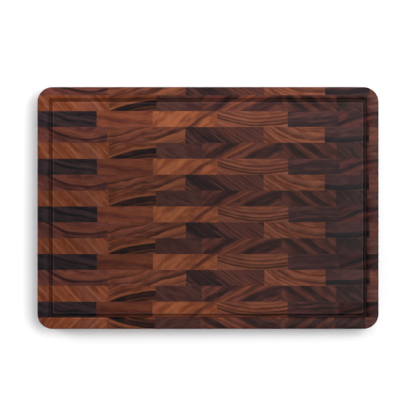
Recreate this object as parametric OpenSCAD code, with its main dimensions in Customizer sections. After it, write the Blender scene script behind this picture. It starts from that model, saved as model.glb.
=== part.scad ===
// End-grain butcher's board with a juice groove.
//
// Planks are glued edge to edge into three panels, A, B and C, and each panel is cross-cut
// into slices. The slices are turned end grain up and glued face to face, in the order
// B, C, A, so every row of the board is one slice and every block in it one plank.
// The finished slab is trimmed, its corners and edges are rounded, and the groove is routed.
//
// Origin at the centre of the underside, +Z up, +X along the board, +Y to the back.

/* [Board] */
// Length of the board, left to right
board_w = 430; // [320:1:600]
// Depth of the board, front to back
board_d = 305; // [200:1:390]
// Thickness of the board
board_t = 38; // [25:1:60]
// Radius of the four corners, seen from above
corner_r = 19; // [8:0.5:36]
// Rounding of the top and bottom edges
edge_r = 2.5; // [1:0.1:5]

/* [Juice groove] */
// From the edge of the board to the outer lip of the groove
groove_inset = 13; // [10:0.5:30]
// Width of the groove, which is also the diameter of its round bottom
groove_w = 7; // [5:0.5:14]
// Straight wall above the round bottom
groove_wall = 1; // [0.5:0.1:5]

/* [Planks] */
// Thickness of the planks, which is the depth of a row
plank_t = 20; // [16:0.5:30]
// What trimming leaves of the back row
back_row = 10.5; // [6:0.5:16]
// Widths of panel A's planks, left to right
panel_a = [75, 70.5, 81, 89, 64.5, 60]; // [30:0.5:120]
// Widths of panel B's planks
panel_b = [88.5, 98.5, 98.5, 77, 56, 80]; // [30:0.5:120]
// Widths of panel C's planks
panel_c = [90, 59.5, 58, 101, 68, 38.5, 65]; // [30:0.5:120]
// Furthest that a row slid sideways as it was glued
row_slip = 0.6; // [0:0.1:2]
// How far the front row, an offcut of panel C turned over, sits to the left
front_row_shift = 2; // [0:0.5:5]

/* [Hidden] */
// The planks' tones. Neighbours differ, so each tone in a row is a set of separate blocks.
TONES = ["dark", "mid", "light"];
TONE_COLOURS = [[0.20, 0.13, 0.12], [0.34, 0.19, 0.14], [0.48, 0.27, 0.18]];
PANELS = [panel_a, panel_b, panel_c];
PANEL_TONES = [
    ["dark", "mid", "light", "mid", "dark", "mid"],
    ["mid", "light", "dark", "light", "dark", "light"],
    ["light", "dark", "mid", "dark", "mid", "dark", "mid"],
];
A = 0;
B = 1;
C = 2;
GLUE_ORDER = [B, C, A];

// Nothing thinner than this is left at a trimmed edge
least_row = 4;
least_block = 8;
// How far a cutter runs past the face that it leaves
margin = 2;
// Turn from one row's slip to the next, in degrees
slip_step = 100;

half_w = board_w / 2;
half_d = board_d / 2;
row_count = 1 + ceil((board_d - back_row - least_row) / plank_t);
last_row = row_count - 1;
groove_r = groove_w / 2;
groove_depth = groove_r + groove_wall;
// The groove's centre line is a rectangle
groove_x = half_w - groove_inset - groove_r;
groove_y = half_d - groove_inset - groove_r;
$fn = 48;

function two_digits(n) = str(n < 10 ? "0" : "", n);
function node_name(row, tone) = str("row_", two_digits(row + 1), "_", tone, "_blocks");

// ---- Where the glue lines run ----

// The back face of a row, as a distance from the back of the board
function row_start(row) = row == 0 ? 0 : back_row + (row - 1) * plank_t;
function row_end(row) = row == last_row ? board_d : row_start(row + 1);
function panel_of(row) = row == last_row ? C : GLUE_ORDER[row % len(GLUE_ORDER)];
function row_offset(row) = row == last_row ? -front_row_shift : row_slip * sin(slip_step * row);

// The joints of a row from the left. The planks repeat on a board wider than their panel.
function joints(widths, offset, k = 0, x = 0) =
    let (next = x + widths[k % len(widths)])
    next + offset > board_w - least_block
        ? []
        : concat([next + offset], joints(widths, offset, k + 1, next));

function block_edges(row) = concat([0], joints(PANELS[panel_of(row)], row_offset(row)), [board_w]);
function block_tone(row, k) = let (tones = PANEL_TONES[panel_of(row)]) tones[k % len(tones)];

// ---- Cutters ----

function band(centre, reach) = [centre - reach, centre + reach];
function overlaps(a, b) = a[0] < b[1] && b[0] < a[1];

// What a round-over takes off an edge that runs through the origin, inside -X and -Y
module edge_waste() {
    difference() {
        translate([-edge_r, -edge_r]) square(edge_r + margin);
        translate([-edge_r, -edge_r]) circle(edge_r);
    }
}

// Rounds the top and bottom edges of a side that faces +Y and starts at the origin
module side_rounding(length) {
    for (z = [0, board_t]) {
        translate([0, 0, z]) mirror([0, 0, z == 0 ? 1 : 0]) rotate([90, 0, 90])
            linear_extrude(length) edge_waste();
    }
}

// A turned disc with rounded edges: the shape of a corner
module corner_disc() {
    rotate_extrude() {
        difference() {
            square([corner_r, board_t]);
            translate([corner_r, board_t]) edge_waste();
            translate([corner_r, 0]) mirror([0, 1]) edge_waste();
        }
    }
}

// Turns what is made for the back right corner to another one. Both numbers are -1 or 1.
module at_corner(side, end) {
    mirror([side < 0 ? 1 : 0, 0, 0]) mirror([0, end < 0 ? 1 : 0, 0]) children();
}

// Everything outside the rounded back right corner
module corner_waste() {
    translate([half_w - corner_r, half_d - corner_r, 0]) {
        difference() {
            translate([0, 0, -margin]) cube([corner_r + margin, corner_r + margin, board_t + 2 * margin]);
            corner_disc();
        }
    }
}

// Cross-section of the groove, with the origin at the centre of its round bottom
module groove_section() {
    circle(groove_r);
    translate([-groove_r, 0]) square([groove_w, groove_wall + margin]);
}

// A straight run of the groove along X, centred on the origin
module groove_run(length) {
    translate([-length / 2, 0, board_t - groove_wall]) rotate([90, 0, 90])
        linear_extrude(length) groove_section();
}

// The quarter turn at the back right corner, between the ends of two runs
module groove_turn() {
    translate([groove_x, groove_y, board_t - groove_wall]) rotate_extrude(angle = 90) {
        intersection() {
            groove_section();
            translate([0, -groove_r]) square([groove_r, groove_depth + margin]);
        }
    }
}

// ---- Blocks ----

// One block between two glue lines each way, with what the edges, corners and groove take off it
module block(x, y) {
    corner_half = corner_r / 2;
    difference() {
        translate([x[0], y[0], 0]) cube([x[1] - x[0], y[1] - y[0], board_t]);
        for (side = [-1, 1]) {
            // The long sides, and the groove along them
            if (overlaps(y, band(side * half_d, edge_r))) {
                rotate([0, 0, 90 - side * 90]) translate([corner_r - half_w, half_d, 0])
                    side_rounding(board_w - 2 * corner_r);
            }
            if (overlaps(y, band(side * groove_y, groove_r))) {
                translate([0, side * groove_y, 0]) groove_run(2 * groove_x);
            }
            // The short sides, and the groove along them
            if (overlaps(x, band(side * half_w, edge_r))) {
                rotate([0, 0, -side * 90]) translate([corner_r - half_d, half_w, 0])
                    side_rounding(board_d - 2 * corner_r);
            }
            if (overlaps(x, band(side * groove_x, groove_r))) {
                translate([side * groove_x, 0, 0]) rotate([0, 0, 90]) groove_run(2 * groove_y);
            }
            // The corners of the board and of the groove
            for (end = [-1, 1]) {
                if (overlaps(x, band(side * (half_w - corner_half), corner_half))
                    && overlaps(y, band(end * (half_d - corner_half), corner_half))) {
                    at_corner(side, end) corner_waste();
                }
                if (overlaps(x, band(side * groove_x, groove_r))
                    && overlaps(y, band(end * groove_y, groove_r))) {
                    at_corner(side, end) groove_turn();
                }
            }
        }
    }
}

// ---- Rows ----

// The blocks of one tone in one row
module row_blocks(row, tone) {
    edges = block_edges(row);
    y = [half_d - row_end(row), half_d - row_start(row)];
    color(TONE_COLOURS[search([tone], TONES)[0]]) {
        for (k = [0:len(edges) - 2]) {
            if (block_tone(row, k) == tone) {
                block([edges[k] - half_w, edges[k + 1] - half_w], y);
            }
        }
    }
}

for (row = [0:last_row]) {
    for (tone = TONES) {
        row_blocks(row, tone);
    }
}
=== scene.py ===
"""End-grain butcher's board with a juice groove.

Planks were glued edge to edge into three panels, A, B and C. Each panel was cross-cut into
slices, and the slices were turned end grain up and glued face to face in the order B, C, A.
So every row of the board is one slice, every block in a row is a piece of one plank, and the
same planks come back three rows further on, cut from a little further along the trunk.
The front row is an offcut of panel C, turned over.
"""

from math import pi, radians
from typing import NamedTuple

import bmesh
import bpy
import numpy as np
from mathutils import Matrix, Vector


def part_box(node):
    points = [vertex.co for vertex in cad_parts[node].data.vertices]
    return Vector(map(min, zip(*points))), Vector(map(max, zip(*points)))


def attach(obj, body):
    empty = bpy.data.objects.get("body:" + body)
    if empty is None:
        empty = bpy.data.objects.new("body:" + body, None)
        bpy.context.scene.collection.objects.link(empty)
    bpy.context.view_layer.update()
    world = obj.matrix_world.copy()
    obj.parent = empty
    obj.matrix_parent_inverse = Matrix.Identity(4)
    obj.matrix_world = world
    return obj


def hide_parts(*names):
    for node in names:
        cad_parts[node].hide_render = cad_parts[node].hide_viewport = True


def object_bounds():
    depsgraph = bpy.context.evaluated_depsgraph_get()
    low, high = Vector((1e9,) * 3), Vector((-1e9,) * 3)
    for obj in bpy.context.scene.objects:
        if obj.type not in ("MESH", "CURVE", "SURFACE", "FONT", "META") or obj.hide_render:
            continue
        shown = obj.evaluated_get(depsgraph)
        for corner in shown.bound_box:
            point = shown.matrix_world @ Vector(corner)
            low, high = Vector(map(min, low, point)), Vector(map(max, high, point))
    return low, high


bl_info = {
    "name": "End-grain cutting board",
    "version": (1, 0, 0),
    "blender": (4, 5, 0),
    "location": "3D View > Sidebar > Cutting board",
    "description": "Saws a shaped blank into end-grain blocks and gives each plank its figure",
    "category": "Add Mesh",
}

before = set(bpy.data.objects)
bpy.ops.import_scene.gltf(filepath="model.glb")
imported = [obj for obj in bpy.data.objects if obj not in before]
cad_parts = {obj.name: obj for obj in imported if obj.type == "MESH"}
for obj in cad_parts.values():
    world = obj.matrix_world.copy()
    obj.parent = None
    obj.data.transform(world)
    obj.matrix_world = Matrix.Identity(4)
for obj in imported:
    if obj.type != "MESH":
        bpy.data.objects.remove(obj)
CAD_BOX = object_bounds()
HALF_W, HALF_D, TOP = CAD_BOX[1]
THICKNESS = TOP - CAD_BOX[0][2]

MM = 0.001
# Points nearer than this are one point
MERGE = 0.001 * MM
# How far a point may be off a plane and still count as on it
SLACK = 0.01 * MM
# Edges that turn more than this are shaded sharp
SHARP_ANGLE = radians(30)
TONES = ("dark", "mid", "light")
GLUE_ORDER = ("B", "C", "A")
OFFCUT_PANEL = "C"
ROW_COUNT = len(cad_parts) // len(TONES)


# ---- The planks ----

class Lines(NamedTuple):
    """Growth lines: how far apart in mm, how thin, how strong, and their colour."""

    spacing: float
    sharpness: float
    strength: float
    colour: str


class Band(NamedTuple):
    """A coloured band that follows the rings. Middle, half width and soft edge are in mm."""

    middle: float
    half_width: float
    edge: float
    strength: float
    colour: str


class Plank(NamedTuple):
    """The figure on the end of one plank.

    The colours run from deep to pale in streaks and clouds. The rings run at angle `lie` in
    degrees through the middle of the block, and bend round a heart `bend` mm above it, or below
    it if negative. `shades` are how bright the plank's own slices are, in turn, beside the rest
    of their rows.
    """

    deep: str
    pale: str
    lie: float
    bend: float
    lines: Lines
    bands: tuple = ()
    streakiness: float = 0.5
    streak_width: float = 2.2
    streak_length: float = 24
    wander: float = 1.2
    shades: tuple = ()


PLANKS = {
    "A1": Plank("1d1b1d", "3a2b2e", -14, 300, Lines(9, 1.4, 0.55, "0d0c10"),
                (Band(4, 0.8, 1.6, 0.45, "533a34"), Band(-7, 1.0, 2.0, 0.4, "49332f")),
                streak_width=4.0, streak_length=50),
    "A2": Plank("622f1e", "7a412a", -5, 400, Lines(9.0, 3.0, 0.25, "44241d"),
                (Band(-3.5, 0.6, 2.4, 0.45, "3c2120"), Band(4, 1.4, 3.4, 0.3, "8f5430")),
                streakiness=0.4, streak_width=4, streak_length=60,
                shades=(1.15, 0.88, 1.2, 0.9, 0.85)),
    "A3": Plank("804427", "a25d38", 38, -300, Lines(12, 1.6, 0.25, "5f3523"),
                (Band(-12.5, 0.7, 3.2, 0.85, "42221b"), Band(-6.5, 0.6, 3.0, 0.45, "6a3822"),
                 Band(9, 3.0, 4.0, 0.45, "b06e40")),
                streakiness=0.15, streak_width=4, wander=0.7),
    "A4": Plank("75412f", "8e5439", -4, 150, Lines(9, 2.0, 0.4, "42241b"),
                (Band(-7.6, 0.5, 1.3, 0.85, "2a1610"), Band(-3.8, 0.5, 1.3, 0.75, "2e1912"),
                 Band(1.2, 0.4, 1.3, 0.6, "331c15"), Band(6.0, 0.3, 1.4, 0.45, "3c2118")),
                streakiness=0.4, streak_width=3, streak_length=50, wander=0.6),
    "A5": Plank("382422", "603a35", 3, -420, Lines(7.0, 1.6, 0.8, "181216"),
                (Band(-7, 1.4, 2.0, 0.6, "1a1418"),),
                streakiness=0.6, streak_width=4, streak_length=60),
    "A6": Plank("331919", "5d312d", 16, -230, Lines(8.0, 1.8, 0.8, "171216"),
                (Band(2.5, 1.0, 1.8, 0.9, "131014"), Band(-4, 1.6, 3.0, 0.5, "6f3a2e")),
                streakiness=0.4, streak_width=4, shades=(1, 1.15, 1.1, 0.7, 0.65)),
    "B1": Plank("5a3028", "7d4638", -12, 90, Lines(11, 1.8, 0.4, "2e1b1b"),
                (Band(-3.6, 1.0, 1.8, 0.85, "25161a"), Band(2, 1.4, 3.8, 0.4, "8f5334"),
                 Band(-9.5, 0.6, 2.0, 0.4, "25161a")),
                streakiness=0.3, streak_width=4, streak_length=60),
    "B2": Plank("663525", "864d37", 17, 500, Lines(9.5, 1.2, 0.9, "22130f"),
                (Band(-15.5, 3.0, 4.0, 0.7, "a2603c"), Band(12, 3.0, 4.0, 0.5, "93502f")),
                streakiness=0.2, streak_width=4, wander=2.2),
    "B3": Plank("341f1e", "623b32", -36, 600, Lines(4.6, 1.5, 1.0, "0e0b0e"),
                (Band(-17, 5.5, 4.0, 0.7, "171216"), Band(15, 12.0, 6.0, 0.65, "713d2e")),
                streakiness=0.6, streak_width=2.4, streak_length=50, wander=0.6),
    "B4": Plank("774029", "95573b", -19, 92, Lines(5.2, 2.1, 1.0, "2b1510"),
                (Band(3.0, 1.2, 2.5, 0.4, "9f664a"),), streakiness=0.25, streak_width=4),
    "B5": Plank("3d2525", "583733", 2, 420, Lines(9.0, 2.0, 0.5, "231719"),
                (Band(-5.8, 2.2, 2.2, 0.95, "121116"),),
                streakiness=0.4, streak_width=4, streak_length=60),
    "B6": Plank("623525", "7c4733", 2, 300, Lines(7, 2.0, 0.5, "3c2320"),
                streakiness=0.3, streak_width=4),
    "C1": Plank("6f361a", "8e4d2f", -48, 400, Lines(14, 5, 0.4, "bd875f"),
                (Band(-14, 4.0, 5.0, 0.5, "7a3912"), Band(14, 5.0, 6.0, 0.6, "7a4a37")),
                streakiness=0.2, streak_width=5, wander=0.8),
    "C2": Plank("65341f", "84482b", 12, -170, Lines(5.6, 1.9, 1.0, "180e0f"),
                (Band(-4.0, 3.3, 0.9, 1.0, "0a090c"), Band(1.0, 0.5, 1.0, 0.7, "a26139"),
                 Band(-10, 1.2, 0.8, 0.9, "1c110e")),
                streakiness=0.3, streak_width=3, wander=0.8),
    "C3": Plank("422522", "57362c", -28, 260, Lines(9.0, 1.8, 0.4, "2a1a1b"),
                streakiness=0.5, streak_width=3),
    "C4": Plank("4f2a20", "734135", 27, -300, Lines(8.5, 1.6, 0.9, "1b1114"),
                (Band(4.0, 0.6, 4.2, 0.75, "935030"), Band(-4.5, 0.4, 2.6, 0.5, "864a33"),
                 Band(-13, 4.0, 5.0, 0.7, "20161a"), Band(13, 2.2, 3.0, 0.7, "1b1216")),
                streakiness=0.35, streak_width=3.4, shades=(1.05, 1, 0.85, 0.95, 1.05)),
    "C5": Plank("4c281e", "663b2f", -40, 300, Lines(6, 1.6, 0.35, "241718"),
                (Band(-12, 2.8, 4.0, 0.85, "181215"), Band(4, 2.4, 4.0, 0.85, "181215"),
                 Band(17, 1.8, 3.0, 0.5, "1c1517")),
                streakiness=0.4, streak_width=3),
    "C6": Plank("2b1c1b", "4a2d28", -38, 260, Lines(12, 2.0, 0.6, "120f11"),
                streakiness=0.4, streak_width=3),
    "C7": Plank("4f2c27", "6f463a", 4, 300, Lines(8.0, 2.0, 0.7, "251719"),
                streakiness=0.4, streak_width=3.4),
}
# Painted sheen: how bright each slice of a panel is painted, in turn. The back rows are painted
# paler and the middle rows darker, as the lamps' sheen falls on them.
SLICE_PAINTED_SHEEN = (1.28, 1.05, 0.88, 0.86, 1.01, 1.0)


# ---- Settings ----

def length(name, description, default):
    """A length property, in metres."""
    return bpy.props.FloatProperty(
        name=name, description=description, default=default, min=0, precision=5,
        unit="LENGTH", subtype="DISTANCE")


def factor(name, description, default, top=1.0):
    """A plain factor, from nothing to top."""
    return bpy.props.FloatProperty(
        name=name, description=description, default=default, min=0, max=top, subtype="FACTOR")


def power(name, description, default):
    """The power of a light, in watts."""
    return bpy.props.FloatProperty(
        name=name, description=description, default=default, min=0, unit="POWER")


def paint(name, description, default):
    """A colour property."""
    return bpy.props.FloatVectorProperty(
        name=name, description=description, default=default, size=3, min=0, max=1,
        subtype="COLOR")


class BoardSizes(bpy.types.PropertyGroup):
    """Sizes of the shaped blank. Its length, depth and thickness are the frame's."""

    corner_radius: length("Corner radius", "Radius of the corners, seen from above", 19 * MM)
    edge_radius: length("Edge radius", "Rounding of the top and bottom edges", 2.5 * MM)
    groove_inset: length("Groove inset", "From the edge to the groove's outer lip", 13 * MM)
    groove_width: length("Groove width", "Width of the round-bottomed groove", 7 * MM)
    groove_wall: length("Groove wall", "Straight wall above the round bottom", 1 * MM)
    lip_radius: length("Lip radius", "Rounding of the groove's two lips", 0.6 * MM)
    arris: length("Arris", "Width taken off a block's edges at the glue lines", 0.07 * MM)
    kerf: length("Kerf", "What the saw took between two slices of a panel", 3 * MM)
    corner_steps: bpy.props.IntProperty(
        name="Corner steps", description="Facets in a quarter turn of the outline",
        default=14, min=2)
    edge_steps: bpy.props.IntProperty(
        name="Edge steps", description="Facets in the rounding of an edge", default=6, min=2)
    lip_steps: bpy.props.IntProperty(
        name="Lip steps", description="Facets in the rounding of a groove lip", default=3, min=1)
    groove_steps: bpy.props.IntProperty(
        name="Groove steps", description="Facets in the groove's round bottom",
        default=16, min=4)


class WalnutFinish(bpy.types.PropertyGroup):
    """How strongly the wood shows its figure, how it is oiled, and the shade and light painted in
    its groove.
    """

    figure: factor("Figure", "Strength of growth lines and bands", 1.0, 2.0)
    mottle: factor("Mottle", "Fine light and dark speckle of cut fibres", 0.30)
    pores: factor("Pores", "Darkness of the open pores", 0.45)
    glue_shadow: factor("Glue shadow", "Darkness of the arrises at the glue lines", 0.35)
    # Painted shade: the groove is painted darker towards its bottom, where shade falls
    groove_painted_shade: factor("Groove painted shade", "Darkening where oil gathers in the groove", 0.5)
    # Painted light: the groove's steep walls are painted lighter, as if lit by the lamps
    groove_wall_painted_light: factor("Groove wall painted light", "How much lighter the groove's steep walls are", 1.7, 4.0)
    # Painted highlight: a pale glint is painted on the groove's inner lip
    lip_painted_glint: factor("Lip painted glint", "How much paler the groove's worn inner lip is", 0.05)
    roughness: factor("Roughness", "Roughness of the oiled surface", 0.38)
    gloss: factor("Gloss", "Strength of the oil's reflection", 0.07)
    oil: paint("Oil", "How much of the dry wood's colour the oil leaves", (0.56, 0.505, 0.54))
    relief: length("Relief", "Depth of the pores and growth lines", 0.035 * MM)


class StudioSettings(bpy.types.PropertyGroup):
    """The floor, the soft lights and the camera."""

    floor_colour: paint("Floor", "Colour of the floor", (0.93, 0.93, 0.935))
    floor_size: length("Floor size", "Side of the floor", 12.0)
    camera_height: length("Camera height", "Height of the camera over the board", 2.2)
    view_width: length("View width", "Width of what the camera sees at the board", 0.5238)
    sky: factor("Sky", "Brightness of the even light from all round", 0.61, 5.0)
    key_power: power("Key power", "Power of the big soft box overhead, to the right", 40.0)
    back_power: power("Back power", "Power of the soft box behind the board", 6.0)
    side_power: power("Side power", "Power of the soft box at the left", 9.0)


# ---- Node helpers ----

def linear(code):
    """The linear colour of a paint code such as 8a4e33."""
    srgb = np.array([int(code[i:i + 2], 16) for i in (0, 2, 4)]) / 255
    return (*np.where(srgb <= 0.04045, srgb / 12.92, ((srgb + 0.055) / 1.055) ** 2.4), 1.0)


class Wiring:
    """Adds nodes to one tree and joins them up. A value is a number, a vector or an output."""

    def __init__(self, tree):
        self.tree = tree

    def node(self, kind, inputs, **options):
        """A node with its options set and its inputs set or linked."""
        made = self.tree.nodes.new(kind)
        for option, value in options.items():
            setattr(made, option, value)
        for name, value in inputs.items():
            if isinstance(value, bpy.types.NodeSocket):
                self.tree.links.new(value, made.inputs[name])
            else:
                made.inputs[name].default_value = value
        return made

    def math(self, operation, *values):
        """One arithmetic step on numbers."""
        return self.node("ShaderNodeMath", dict(enumerate(values)), operation=operation).outputs[0]

    def vector(self, operation, a, b):
        """One arithmetic step on vectors."""
        return self.node("ShaderNodeVectorMath", {0: a, 1: b}, operation=operation).outputs[0]

    def combine(self, x, y, z):
        """A vector from its three parts."""
        return self.node("ShaderNodeCombineXYZ", {0: x, 1: y, 2: z}).outputs[0]

    def separate(self, vector):
        """The three parts of a vector."""
        return self.node("ShaderNodeSeparateXYZ", {0: vector}).outputs

    def ramp(self, value, low, high, start=0.0, end=1.0):
        """Goes smoothly from start to end as the value goes from low to high."""
        return self.node(
            "ShaderNodeMapRange",
            {"Value": value, "From Min": low, "From Max": high, "To Min": start, "To Max": end},
            interpolation_type="SMOOTHSTEP").outputs[0]

    def noise(self, place, detail=2.0, rough=0.5):
        """Soft noise in three dimensions, with one lump a unit."""
        return self.node(
            "ShaderNodeTexNoise",
            {"Vector": place, "Scale": 1.0, "Detail": detail, "Roughness": rough}).outputs

    def mix(self, share, a, b):
        """Colour a going over to colour b."""
        sockets = {0: share, 6: a, 7: b}
        return self.node("ShaderNodeMix", sockets, data_type="RGBA").outputs[2]

    def attribute(self, name, output="Fac"):
        """What the mesh says of each point or face under that name."""
        return self.node("ShaderNodeAttribute", {}, attribute_name=name).outputs[output]


SOCKETS = {float: "NodeSocketFloat", Vector: "NodeSocketVector", tuple: "NodeSocketColor"}


def shader_group(name, inputs, outputs, draw):
    """A shader node group. draw(wiring, inputs) returns its outputs in order."""
    tree = bpy.data.node_groups.new(name, "ShaderNodeTree")
    for socket, kind in inputs.items():
        tree.interface.new_socket(name=socket, in_out="INPUT", socket_type=SOCKETS[kind])
    for socket, kind in outputs.items():
        tree.interface.new_socket(name=socket, in_out="OUTPUT", socket_type=SOCKETS[kind])
    start = tree.nodes.new("NodeGroupInput")
    end = tree.nodes.new("NodeGroupOutput")
    for value, socket in zip(draw(Wiring(tree), start.outputs), end.inputs):
        tree.links.new(value, socket)
    return tree


def place_group(wiring, tree, inputs):
    """Puts a node group into a material and returns its outputs."""
    return wiring.node("ShaderNodeGroup", inputs, node_tree=tree).outputs


# ---- The wood's shader groups. All lengths in them are mm on the plank's end. ----

# Lumps of noise in a mm: along the rings, across them and down the trunk
SWAY_SCALE = (0.035, 0.035, 0.011)
FADE_SCALE = (0.045, 0.12, 0.012)
CLOUD_SCALE = (0.06, 0.19, 0.009)
# Soft noise keeps to about 1/4 either side of its middle, so this brings it to 1
NOISE_GAIN = 4.0
# How the rings' spacing drifts: lumps of noise in a ring, and how many rings it shifts them
DRIFT_SCALE = 0.4
DRIFT_REACH = 1.8
# Fibres are drawn out down the trunk. The rest is in lumps or cells a mm.
FIBRE_STRETCH = (1.0, 1.0, 0.03)
SPECK_SCALE = (0.75, 0.75, 0.75)
PORE_SCALE = 1.7
PORE_CLUSTER_SCALE = (0.2, 0.2, 0.2)


def draw_rings(w, inputs):
    """Where a point is among the rings: along them, across them and down the trunk.

    The place is pushed about by slow noise, turned so that X runs along the rings, and its
    distance to the heart, less the heart's own distance, is how far across the rings it is.
    """
    place, lie, bend, wander, seed = inputs[:5]
    slow = w.vector("MULTIPLY", place, SWAY_SCALE)
    shifted = w.vector("ADD", slow, w.combine(seed, seed, seed))
    lumps = w.vector("SUBTRACT", w.noise(shifted, 1.0)["Color"], (0.5, 0.5, 0.5))
    reach = w.math("MULTIPLY", wander, NOISE_GAIN)
    pushed = w.vector("ADD", place, w.vector("MULTIPLY", lumps, w.combine(reach, reach, 0.0)))
    turned = w.node(
        "ShaderNodeVectorRotate",
        {"Vector": pushed, "Angle": w.math("MULTIPLY", lie, -1.0)},
        rotation_type="Z_AXIS").outputs[0]
    along, across, down = w.separate(turned)[:3]
    to_heart = w.math("SUBTRACT", across, bend)
    distance = w.math("SQRT", w.math(
        "ADD", w.math("MULTIPLY", along, along), w.math("MULTIPLY", to_heart, to_heart)))
    nearer = w.math("SUBTRACT", w.math("ABSOLUTE", bend), distance)
    depth = w.math("MULTIPLY", nearer, w.math("SIGN", bend))
    return (w.combine(along, depth, down),)


def noise_place(w, grain, scale, seed):
    """Where to look a noise up: scaled, and moved across the rings by the seed."""
    along, depth, down = w.separate(grain)[:3]
    return w.combine(
        w.math("MULTIPLY", along, scale[0]), w.math("MULTIPLY_ADD", depth, scale[1], seed),
        w.math("MULTIPLY", down, scale[2]))


def fading(w, grain, seed, least):
    """A strength that comes and goes along the rings and down the trunk, from least to 1."""
    here = w.noise(noise_place(w, grain, FADE_SCALE, seed), 1.0)[0]
    return w.ramp(here, 0.36, 0.58, least, 1.0)


def draw_lines(w, inputs):
    """Growth lines: each ring darkens slowly, then stops short, and no two are alike."""
    grain, spacing, sharpness, seed = inputs[:4]
    ring = w.math("DIVIDE", w.separate(grain)[1], spacing)
    drift = w.node(
        "ShaderNodeTexNoise",
        {"W": w.math("ADD", w.math("MULTIPLY", ring, DRIFT_SCALE), seed),
         "Scale": 1.0, "Detail": 1.0},
        noise_dimensions="1D").outputs[0]
    phase = w.math("ADD", ring, w.math("MULTIPLY", drift, DRIFT_REACH))
    edge = w.math("POWER", w.math("FRACT", phase), sharpness)
    each = w.node(
        "ShaderNodeTexWhiteNoise", {"W": w.math("ADD", w.math("FLOOR", phase), seed)},
        noise_dimensions="1D").outputs[0]
    faintest = 0.6
    strength = w.math("MULTIPLY", w.math("MULTIPLY_ADD", each, 1 - faintest, faintest),
                      fading(w, grain, seed, 0.65))
    return (w.math("MULTIPLY", edge, strength),)


def draw_band(w, inputs):
    """A band round one ring: full within its half width, then fading out over its edge."""
    grain, middle, half_width, edge, seed = inputs[:5]
    off = w.math("ABSOLUTE", w.math("SUBTRACT", w.separate(grain)[1], middle))
    out = w.math("ADD", half_width, edge)
    here = w.ramp(off, half_width, out, 1.0, 0.0)
    return (w.math("MULTIPLY", here, fading(w, grain, seed, 0.9)),)


def draw_streaks(w, inputs):
    """Streaks and clouds: noise drawn out along the rings and down the trunk, over soft lumps."""
    grain, width, stretch, streakiness, seed = inputs[:5]
    along, depth, down = w.separate(grain)[:3]
    fine = w.noise(w.combine(
        w.math("DIVIDE", along, stretch), w.math("ADD", w.math("DIVIDE", depth, width), seed),
        w.math("MULTIPLY", down, CLOUD_SCALE[2])), 2.0, 0.55)[0]
    clouds = w.noise(noise_place(w, grain, CLOUD_SCALE, seed), 2.0, 0.5)[0]
    both = w.math("ADD", w.math("MULTIPLY", fine, streakiness),
                  w.math("MULTIPLY", clouds, w.math("SUBTRACT", 1.0, streakiness)))
    return (w.ramp(both, 0.38, 0.62),)


def draw_fibres(w, inputs):
    """Cut fibres and open pores: specks on end grain that run down the trunk as hairlines."""
    place, = inputs[:1]
    stretched = w.vector("MULTIPLY", place, FIBRE_STRETCH)
    grit = w.noise(w.vector("MULTIPLY", stretched, SPECK_SCALE), 3.0, 0.65)[0]
    speck = w.ramp(grit, 0.30, 0.70)
    cells = w.node(
        "ShaderNodeTexVoronoi",
        {"Vector": stretched, "Scale": PORE_SCALE, "Randomness": 1.0}).outputs[0]
    pore = w.ramp(cells, 0.13, 0.26, 1.0, 0.0)
    clusters = w.noise(w.vector("MULTIPLY", stretched, PORE_CLUSTER_SCALE), 1.0)[0]
    return speck, w.math("MULTIPLY", pore, w.ramp(clusters, 0.42, 0.62))


def draw_oiled(w, inputs):
    """The oiled surface: its colour, its roughness and how high it stands.

    The colour is the figure's, made lighter or darker by specks, pores, the slice's own tone and
    the painted sheen of its row, the glue lines, painted light on the groove's steep walls and
    painted shade in its bottom, with a painted highlight on the inner lip.
    """
    (colour, speck, pore, line, tone_and_sheen, upright, glue, groove, lip, mottle, pores, glue_shadow,
     groove_painted_shade, groove_wall_painted_light, lip_painted_glint, roughness) = inputs[:16]
    specked = w.math("MULTIPLY_ADD", w.math("SUBTRACT", speck, 0.5), mottle, 1.0)
    pored = w.math("SUBTRACT", 1.0, w.math("MULTIPLY", pore, pores))
    steep = w.math("MULTIPLY", w.ramp(upright, 0.92, 0.5), w.ramp(groove, 0.12, 0.25))
    # Painted light: the steep walls of the groove are painted lighter
    walls_lit = w.math("MULTIPLY_ADD", steep, groove_wall_painted_light, 1.0)
    seamed = w.math("SUBTRACT", 1.0, w.math("MULTIPLY", glue, glue_shadow))
    # Painted shade: darker towards the bottom of the groove
    bottom_shaded = w.math("SUBTRACT", 1.0, w.math("MULTIPLY", w.ramp(groove, 0.45, 0.95), groove_painted_shade))
    wood = w.math("MULTIPLY", w.math("MULTIPLY", specked, pored), tone_and_sheen)
    shaping = w.math("MULTIPLY", w.math("MULTIPLY", walls_lit, seamed), bottom_shaded)
    value = w.math("MULTIPLY", wood, shaping)
    oiled = w.vector("MULTIPLY", colour, w.combine(value, value, value))
    # Painted highlight: a pale glint added on the rounding of the inner lip
    glint = w.math("MULTIPLY", lip, lip_painted_glint)
    tinted = w.vector("ADD", oiled, w.combine(glint, glint, glint))
    dull = w.math("ADD", w.math("MULTIPLY", pore, 0.25), w.math("MULTIPLY", speck, 0.10))
    rough = w.math("ADD", roughness, w.math("SUBTRACT", dull, w.math("MULTIPLY", line, 0.06)))
    sunk = w.math("ADD", pore, w.math("MULTIPLY", line, 0.3))
    height = w.math("SUBTRACT", w.math("MULTIPLY", speck, 0.25), sunk)
    return tinted, rough, height


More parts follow.
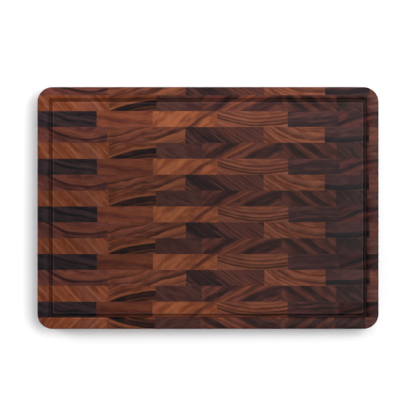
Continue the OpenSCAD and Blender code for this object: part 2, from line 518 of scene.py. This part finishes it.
GROUP_SHAPES = {
    "Growth rings": (
        {"Place": Vector, "Lie": float, "Bend": float, "Wander": float, "Seed": float},
        {"Grain": Vector}, draw_rings),
    "Growth lines": (
        {"Grain": Vector, "Spacing": float, "Sharpness": float, "Seed": float},
        {"Line": float}, draw_lines),
    "Figure band": (
        {"Grain": Vector, "Middle": float, "Half width": float, "Edge": float, "Seed": float},
        {"Band": float}, draw_band),
    "Streaks": (
        {"Grain": Vector, "Width": float, "Length": float, "Streakiness": float, "Seed": float},
        {"Streak": float}, draw_streaks),
    "Fibres": ({"Place": Vector}, {"Speck": float, "Pore": float}, draw_fibres),
    "Oiled surface": (
        {"Colour": tuple, "Speck": float, "Pore": float, "Line": float, "Tone and sheen": float,
         "Upright": float, "Glue": float, "Groove": float, "Lip": float, "Mottle": float,
         "Pores": float, "Glue shadow": float, "Groove painted shade": float, "Groove wall painted light": float,
         "Lip painted glint": float, "Roughness": float},
        {"Colour": tuple, "Roughness": float, "Height": float}, draw_oiled),
}


def wood_group(name):
    """The wood's shader group of that name, made the first time it is asked for."""
    return bpy.data.node_groups.get(name) or shader_group(name, *GROUP_SHAPES[name])


# Far enough apart that no two planks, and no two bands of one, are alike
PLANK_SEED_STEP = 7.3
BAND_SEED_STEP = 3.1
# How much fainter the bands and growth lines are over the palest streaks
RAGGEDNESS = 0.12
OIL_IOR = 1.46


def oiled_colour(code):
    """The colour of a paint code as the oil leaves it."""
    oil = bpy.context.scene.walnut_finish.oil
    return (*(left * dry for left, dry in zip(oil, linear(code))), 1.0)


def plank_figure(w, plank, seed, place):
    """The colour of a plank's streaks, bands and growth lines, and where the lines are."""
    strength = bpy.context.scene.walnut_finish.figure
    grain = place_group(w, wood_group("Growth rings"), {
        "Place": place, "Lie": radians(plank.lie), "Bend": float(plank.bend),
        "Wander": plank.wander, "Seed": seed})["Grain"]
    streak = place_group(w, wood_group("Streaks"), {
        "Grain": grain, "Width": plank.streak_width, "Length": float(plank.streak_length),
        "Streakiness": plank.streakiness, "Seed": seed})["Streak"]
    colour = w.mix(streak, oiled_colour(plank.deep), oiled_colour(plank.pale))
    ragged = w.math("MULTIPLY_ADD", streak, -RAGGEDNESS, 1.0)
    for number, band in enumerate(plank.bands):
        mask = place_group(w, wood_group("Figure band"), {
            "Grain": grain, "Middle": float(band.middle), "Half width": band.half_width,
            "Edge": band.edge, "Seed": seed + BAND_SEED_STEP * (number + 1)})["Band"]
        share = w.math("MULTIPLY", w.math("MULTIPLY", mask, ragged), band.strength * strength)
        colour = w.mix(share, colour, oiled_colour(band.colour))
    outward = -1.0 if plank.bend > 0 else 1.0
    line = place_group(w, wood_group("Growth lines"), {
        "Grain": grain, "Spacing": outward * plank.lines.spacing,
        "Sharpness": float(plank.lines.sharpness), "Seed": seed})["Line"]
    line = w.math("MULTIPLY", line, ragged)
    share = w.math("MULTIPLY", line, plank.lines.strength * strength)
    return w.mix(share, colour, oiled_colour(plank.lines.colour)), line


def walnut(plank_name):
    """The material of one plank: its figure and fibres, oiled."""
    name = "walnut_" + plank_name
    if name in bpy.data.materials:
        return bpy.data.materials[name]
    finish = bpy.context.scene.walnut_finish
    plank = PLANKS[plank_name]
    seed = PLANK_SEED_STEP * (1 + sorted(PLANKS).index(plank_name))
    material = bpy.data.materials.new(name)
    material.use_nodes = True
    material.diffuse_color = linear(plank.pale)
    tree = material.node_tree
    tree.nodes.clear()
    w = Wiring(tree)
    place = w.attribute("plank_place", "Vector")
    colour, line = plank_figure(w, plank, seed, place)
    fibres = place_group(w, wood_group("Fibres"), {"Place": place})
    normal = w.node("ShaderNodeNewGeometry", {}).outputs["Normal"]
    oiled = place_group(w, wood_group("Oiled surface"), {
        "Colour": colour, "Speck": fibres["Speck"], "Pore": fibres["Pore"], "Line": line,
        "Tone and sheen": w.attribute("slice_tone_and_sheen"), "Glue": w.attribute("glue_line"),
        "Groove": w.attribute("groove_depth"), "Lip": w.attribute("inner_lip"),
        "Upright": w.math("ABSOLUTE", w.separate(normal)[2]),
        "Mottle": finish.mottle, "Pores": finish.pores, "Glue shadow": finish.glue_shadow,
        "Groove painted shade": finish.groove_painted_shade, "Groove wall painted light": finish.groove_wall_painted_light,
        "Lip painted glint": finish.lip_painted_glint, "Roughness": finish.roughness})
    bump = w.node("ShaderNodeBump", {"Height": oiled["Height"], "Distance": finish.relief})
    shader = w.node("ShaderNodeBsdfPrincipled", {
        "Base Color": oiled["Colour"], "Roughness": oiled["Roughness"],
        "Normal": bump.outputs[0], "IOR": OIL_IOR, "Specular IOR Level": finish.gloss})
    w.node("ShaderNodeOutputMaterial", {"Surface": shader.outputs[0]})
    return material


# ---- The blank ----

def blank_rings(sizes):
    """Inset, corner radius and height of each ring round the blank, from underside to field.

    The rings go round the bottom edge, up the side, round the top edge, over the rim, down the
    groove's outer wall, round its bottom and up its inner wall. In the groove the outline is
    drawn at a distance from a centre line with square corners, so its corner radius is that
    distance outside the line and none inside it.
    """
    turn = np.linspace(-pi / 2, 0, sizes.edge_steps + 1)
    low_inset = sizes.edge_radius * (1 - np.cos(turn))
    low_height = sizes.edge_radius * (1 + np.sin(turn))
    high_inset = low_inset[::-1]
    high_height = THICKNESS - low_height[::-1]
    radius = sizes.groove_width / 2
    swing = np.linspace(pi / 2, -pi / 2, sizes.groove_steps + 1)
    out = radius * np.sin(swing)
    bottom_inset = sizes.groove_inset + radius - out
    bottom_height = THICKNESS - sizes.groove_wall - radius * np.cos(swing)
    lip_turn = np.linspace(0, pi / 2, sizes.lip_steps + 1)
    lip_run = sizes.lip_radius * (1 - np.sin(lip_turn))
    lip_height = THICKNESS - sizes.lip_radius * (1 - np.cos(lip_turn))
    inset = np.concatenate([
        low_inset, high_inset, sizes.groove_inset - lip_run, bottom_inset,
        sizes.groove_inset + 2 * radius + lip_run[::-1]])
    height = np.concatenate([low_height, high_height, lip_height, bottom_height, lip_height[::-1]])
    rim = sizes.corner_radius - np.concatenate([low_inset, high_inset])
    corner = np.concatenate([rim, radius + lip_run, np.maximum(out, 0), 0 * lip_run])
    return inset, corner, height


def blank_mesh(sizes):
    """The whole shaped blank as one closed bmesh.

    A point is set by its ring and its angle round the outline: a corner's centre plus the
    corner's radius in that direction. Quads join the rings, and two flat faces close them.
    """
    inset, corner, height = (a[:, None] for a in blank_rings(sizes))
    steps = sizes.corner_steps + 1
    angle = np.concatenate([np.linspace(0, pi / 2, steps) + k * pi / 2 for k in range(4)])
    side = np.repeat([1, -1, -1, 1], steps)
    end = np.repeat([1, 1, -1, -1], steps)
    x = side * (HALF_W - inset - corner) + corner * np.cos(angle)
    y = end * (HALF_D - inset - corner) + corner * np.sin(angle)
    points = np.stack([x, y, np.broadcast_to(height, x.shape)], axis=-1)
    rings, around = x.shape
    here = np.arange(around)
    onward = (here + 1) % around
    base = around * np.arange(rings - 1)[:, None]
    quads = np.stack([base + here, base + onward, base + around + onward, base + around + here],
                     axis=-1).reshape(-1, 4)
    field = (rings - 1) * around + steps * np.arange(4)
    mesh = bpy.data.meshes.new("blank")
    faces = [*quads.tolist(), here[::-1].tolist(), field.tolist()]
    mesh.from_pydata(points.reshape(-1, 3), [], faces)
    blank = bmesh.new()
    blank.from_mesh(mesh)
    bpy.data.meshes.remove(mesh)
    bmesh.ops.remove_doubles(blank, verts=blank.verts, dist=MERGE)
    bmesh.ops.dissolve_degenerate(blank, edges=blank.edges, dist=MERGE)
    bmesh.ops.recalc_face_normals(blank, faces=blank.faces)
    blank.faces.layers.int.new("sawn")
    return blank


# ---- Sawing ----

def saw(work, axis, at, keep):
    """Cuts the work across an axis and closes the cut. keep is -1 or 1: the side that stays."""
    place = Vector((0, 0, 0))
    place[axis] = at
    normal = Vector((0, 0, 0))
    normal[axis] = -keep
    cut = bmesh.ops.bisect_plane(
        work, geom=[*work.verts, *work.edges, *work.faces], dist=MERGE, plane_co=place,
        plane_no=normal, clear_outer=True)
    rim = [e for e in cut["geom_cut"] if isinstance(e, bmesh.types.BMEdge) and e.is_boundary]
    closed = bmesh.ops.edgeloop_fill(work, edges=rim)
    sawn = work.faces.layers.int["sawn"]
    for face in closed["faces"]:
        face[sawn] = 1


def trim(work, axis, low, high):
    """Saws the work down to what lies between two planes, where it reaches past them."""
    reach = [v.co[axis] for v in work.verts]
    if min(reach) < low - SLACK:
        saw(work, axis, low, 1)
    if max(reach) > high + SLACK:
        saw(work, axis, high, -1)


def ease_arrises(work, width):
    """Takes the sharp edge off where a sawn face meets the shaped surface.

    Returns the narrow faces that this leaves along the glue lines.
    """
    sawn = work.faces.layers.int["sawn"]
    arrises = [e for e in work.edges if sum(f[sawn] for f in e.link_faces) == 1]
    eased = bmesh.ops.bevel(
        work, geom=arrises, offset=width, offset_type="OFFSET", segments=1, profile=0.5,
        affect="EDGES", clamp_overlap=True)
    return eased["faces"]


def spans(node):
    """The stretches of X that a CAD node's separate blocks take up, as (low, high) pairs."""
    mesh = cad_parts[node].data
    mesh.calc_loop_triangles()
    corners = np.array([t.vertices for t in mesh.loop_triangles])
    x = np.array([v.co.x for v in mesh.vertices])[corners]
    order = np.argsort(x.min(1))
    low = x.min(1)[order]
    high = np.maximum.accumulate(x.max(1)[order])
    starts = np.concatenate([[True], low[1:] > high[:-1] + MM])
    ends = np.concatenate([starts[1:], [True]])
    return list(zip(low[starts], high[ends]))


def row_blocks(row):
    """The row's blocks from the left, as (low X, high X, CAD node, tone)."""
    found = []
    for tone in TONES:
        node = f"row_{row + 1:02d}_{tone}_blocks"
        found += [(low, high, node, tone) for low, high in spans(node)]
    return sorted(found)


def groove_masks(points, sizes):
    """Where points are in the groove.

    The first mask is the depth, from 0 at the lips to 1 at the bottom. The second is 1 on the
    rounding of the inner lip, where a highlight is painted, and 0 elsewhere.
    """
    inset = np.minimum(HALF_W - np.abs(points[:, 0]), HALF_D - np.abs(points[:, 1]))
    depth = TOP - points[:, 2]
    full = sizes.groove_wall + sizes.groove_width / 2
    share = np.where(inset > sizes.groove_inset - sizes.lip_radius, np.clip(depth / full, 0, 1), 0)
    # A little more than the rounding's own depth, so that its last points count
    lip_depth = 1.1 * sizes.lip_radius
    rounded = (depth > SLACK) & (depth < lip_depth)
    return share, rounded & (inset > sizes.groove_inset + sizes.groove_width / 2)


def plank_places(points, middle, slice_index, turned):
    """Where points are in their plank, in mm: across its width, through it and down the trunk.

    Each slice came one thickness and one kerf further down the trunk than the one before.
    """
    place = points - (*middle, 0)
    if turned:
        place = place * (1, -1, -1) + (0, 0, THICKNESS)
    kerf = bpy.context.scene.board_sizes.kerf
    return (place + (0, 0, slice_index * (THICKNESS + kerf))) / MM


def set_point_values(mesh, name, values):
    """Gives every point of a mesh its own number, or its own vector."""
    kind, field = ("FLOAT", "value") if values.ndim == 1 else ("FLOAT_VECTOR", "vector")
    data = mesh.attributes.new(name, kind, "POINT").data
    data.foreach_set(field, values.astype(np.float32).ravel())


def finish_block(work, name, plank_name, slice_index, middle, turned):
    """Makes a sawn block into an object with its plank's material."""
    sizes = bpy.context.scene.board_sizes
    glue = work.faces.layers.float.new("glue_line")
    for face in ease_arrises(work, sizes.arris):
        face[glue] = 1.0
    bmesh.ops.recalc_face_normals(work, faces=work.faces)
    mesh = bpy.data.meshes.new(name)
    work.to_mesh(mesh)
    mesh.attributes.remove(mesh.attributes["sawn"])
    mesh.polygons.foreach_set("use_smooth", np.ones(len(mesh.polygons), bool))
    mesh.set_sharp_from_angle(angle=SHARP_ANGLE)
    co = np.empty(3 * len(mesh.vertices), np.float32)
    mesh.vertices.foreach_get("co", co)
    points = co.reshape(-1, 3)
    own = PLANKS[plank_name].shades
    # The slice's own tone, times the painted sheen of its row
    tone_and_sheen = SLICE_PAINTED_SHEEN[slice_index] * (own[slice_index] if slice_index < len(own) else 1)
    depth, lip = groove_masks(points, sizes)
    set_point_values(mesh, "plank_place", plank_places(points, middle, slice_index, turned))
    set_point_values(mesh, "slice_tone_and_sheen", np.full(len(points), tone_and_sheen))
    set_point_values(mesh, "groove_depth", depth)
    set_point_values(mesh, "inner_lip", lip)
    mesh.materials.append(walnut(plank_name))
    piece = bpy.data.objects.new(name, mesh)
    bpy.context.collection.objects.link(piece)
    return piece


def make_rows(panel, rows, turned=False):
    """Saws the rows that are slices of one panel out of the blank, block by block."""
    sizes = bpy.context.scene.board_sizes
    blank = blank_mesh(sizes)
    first = GLUE_ORDER.index(panel)
    # The second row is not trimmed, so it is as deep as the planks are thick
    front, back = (corner.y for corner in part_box("row_02_mid_blocks"))
    plank_thick = back - front
    for row in rows:
        blocks = row_blocks(row)
        front, back = (corner.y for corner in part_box(blocks[0][2]))
        middle_y = front + plank_thick / 2 if row == 0 else back - plank_thick / 2
        strip = blank.copy()
        trim(strip, 1, front, back)
        # The offcut in the front row counts as the slice after the last
        slice_index = (row - first + 1) // len(GLUE_ORDER)
        for k, (low, high, node, tone) in enumerate(blocks):
            work = strip.copy()
            trim(work, 0, low, high)
            name = f"row_{row + 1:02d}_block_{k + 1}"
            piece = finish_block(
                work, name, f"{panel}{k + 1}", slice_index, ((low + high) / 2, middle_y), turned)
            work.free()
            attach(piece, "root")
            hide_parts(node)
        strip.free()
    blank.free()
    return {"FINISHED"}


def rows_of(panel):
    """The rows that are slices of a panel, counted from 0 at the back."""
    return range(GLUE_ORDER.index(panel), ROW_COUNT - 1, len(GLUE_ORDER))


# ---- The stage ----

def soft_box(name, power, size, place):
    """A rectangular area light at a place, turned to face the middle of the board's top."""
    data = bpy.data.lights.new(name, "AREA")
    data.shape = "RECTANGLE"
    data.size, data.size_y = size
    data.energy = power
    light = bpy.data.objects.new(name, data)
    light.location = place
    ray = Vector((0, 0, TOP)) - Vector(place)
    light.rotation_euler = ray.to_track_quat("-Z", "Y").to_euler()
    bpy.context.collection.objects.link(light)


def make_floor(studio):
    """A flat floor with a faint cloudiness, as wide as the studio."""
    clouds_a_metre = 3.0
    cloud_shade = 0.98
    half = studio.floor_size / 2
    mesh = bpy.data.meshes.new("floor")
    mesh.from_pydata([(-half, -half, 0), (half, -half, 0), (half, half, 0), (-half, half, 0)],
                     [], [(0, 1, 2, 3)])
    material = bpy.data.materials.new("floor_paper")
    material.use_nodes = True
    w = Wiring(material.node_tree)
    place = w.node("ShaderNodeTexCoord", {}).outputs["Object"]
    clouds = w.noise(w.vector("MULTIPLY", place, (clouds_a_metre,) * 3))[0]
    pale = (*studio.floor_colour, 1.0)
    darker = (*(cloud_shade * c for c in studio.floor_colour), 1.0)
    shader = material.node_tree.nodes["Principled BSDF"]
    shader.inputs["Roughness"].default_value = 0.9
    shader.inputs["Specular IOR Level"].default_value = 0.1
    material.node_tree.links.new(w.mix(clouds, darker, pale), shader.inputs["Base Color"])
    mesh.materials.append(material)
    floor = bpy.data.objects.new("floor", mesh)
    bpy.context.collection.objects.link(floor)


def make_sky(studio):
    """Soft light from all round, dimmer overhead and in front. The camera sees it as white."""
    at_horizon, at_zenith, towards_back = 1.5, 0.5, 0.3
    world = bpy.data.worlds.new("studio")
    world.use_nodes = True
    tree = world.node_tree
    tree.nodes.clear()
    w = Wiring(tree)
    seen = w.node("ShaderNodeLightPath", {}).outputs["Is Camera Ray"]
    backward, upward = w.separate(w.node("ShaderNodeTexCoord", {}).outputs["Generated"])[1:3]
    level = w.ramp(upward, 0.0, 1.0, at_horizon * studio.sky, at_zenith * studio.sky)
    sky = w.math("MULTIPLY", level, w.math("MULTIPLY_ADD", backward, towards_back, 1.0))
    strength = w.math("MAXIMUM", sky, seen)
    light = w.node("ShaderNodeBackground", {"Color": (0.97, 0.98, 1.0, 1), "Strength": strength})
    w.node("ShaderNodeOutputWorld", {"Surface": light.outputs[0]})
    bpy.context.scene.world = world


def make_camera(studio):
    """A long lens looking straight down on the middle of the board."""
    data = bpy.data.cameras.new("camera")
    data.sensor_width = 36
    data.lens = data.sensor_width * studio.camera_height / studio.view_width
    data.clip_end = 50
    camera = bpy.data.objects.new("camera", data)
    camera.location = (0, 0, TOP + studio.camera_height)
    bpy.context.collection.objects.link(camera)
    bpy.context.scene.camera = camera


# ---- Operators ----

class BoardOperator:
    """What the board's operators share."""

    bl_options = {"REGISTER", "UNDO"}


class CUTTING_BOARD_OT_rows_a(BoardOperator, bpy.types.Operator):
    """Makes the rows that are slices of panel A"""

    bl_idname = "cutting_board.rows_a"
    bl_label = "Rows of panel A"

    def execute(self, context):
        return make_rows("A", rows_of("A"))


class CUTTING_BOARD_OT_rows_b(BoardOperator, bpy.types.Operator):
    """Makes the rows that are slices of panel B"""

    bl_idname = "cutting_board.rows_b"
    bl_label = "Rows of panel B"

    def execute(self, context):
        return make_rows("B", rows_of("B"))


class CUTTING_BOARD_OT_rows_c(BoardOperator, bpy.types.Operator):
    """Makes the rows that are slices of panel C"""

    bl_idname = "cutting_board.rows_c"
    bl_label = "Rows of panel C"

    def execute(self, context):
        return make_rows("C", rows_of("C"))


class CUTTING_BOARD_OT_front_row(BoardOperator, bpy.types.Operator):
    """Makes the front row, an offcut of panel C turned over"""

    bl_idname = "cutting_board.front_row"
    bl_label = "Front row"

    def execute(self, context):
        return make_rows(OFFCUT_PANEL, [ROW_COUNT - 1], turned=True)


class CUTTING_BOARD_OT_stage(BoardOperator, bpy.types.Operator):
    """Makes the floor, the soft lights and the camera"""

    bl_idname = "cutting_board.stage"
    bl_label = "Stage"

    def execute(self, context):
        studio = context.scene.studio_settings
        make_floor(studio)
        make_sky(studio)
        make_camera(studio)
        soft_box("key_light", studio.key_power, size=(1.2, 1.2), place=(0.8, 0.22, 2.2))
        soft_box("back_light", studio.back_power, size=(0.7, 0.5), place=(0.1, 1.3, 1.9))
        soft_box("side_light", studio.side_power, size=(0.5, 0.7), place=(-1.3, 0.4, 1.4))
        context.scene.view_settings.view_transform = "Standard"
        return {"FINISHED"}


class CUTTING_BOARD_PT_sidebar(bpy.types.Panel):
    """The board's operators and settings, in the sidebar"""

    bl_label = "Cutting board"
    bl_space_type = "VIEW_3D"
    bl_region_type = "UI"
    bl_category = "Cutting board"

    def draw(self, context):
        for operator in OPERATORS:
            self.layout.operator(operator.bl_idname)
        for name, settings in SETTINGS.items():
            box = self.layout.box()
            box.label(text=settings.__doc__)
            for item in settings.__annotations__:
                box.prop(getattr(context.scene, name), item)


SETTINGS = {
    "board_sizes": BoardSizes,
    "walnut_finish": WalnutFinish,
    "studio_settings": StudioSettings,
}
OPERATORS = (
    CUTTING_BOARD_OT_rows_b,
    CUTTING_BOARD_OT_rows_c,
    CUTTING_BOARD_OT_rows_a,
    CUTTING_BOARD_OT_front_row,
    CUTTING_BOARD_OT_stage,
)


def register():
    """Registers the classes and hangs the settings on the scene."""
    for cls in (*SETTINGS.values(), *OPERATORS, CUTTING_BOARD_PT_sidebar):
        bpy.utils.register_class(cls)
    for name, settings in SETTINGS.items():
        setattr(bpy.types.Scene, name, bpy.props.PointerProperty(type=settings))


def unregister():
    """Takes the settings and the classes away again."""
    for name in SETTINGS:
        delattr(bpy.types.Scene, name)
    for cls in reversed((*SETTINGS.values(), *OPERATORS, CUTTING_BOARD_PT_sidebar)):
        bpy.utils.unregister_class(cls)


def main():
    """Builds the board and the stage."""
    register()
    for operator in OPERATORS:
        group, name = operator.bl_idname.split(".")
        getattr(getattr(bpy.ops, group), name)()


if __name__ == "__main__":
    main()
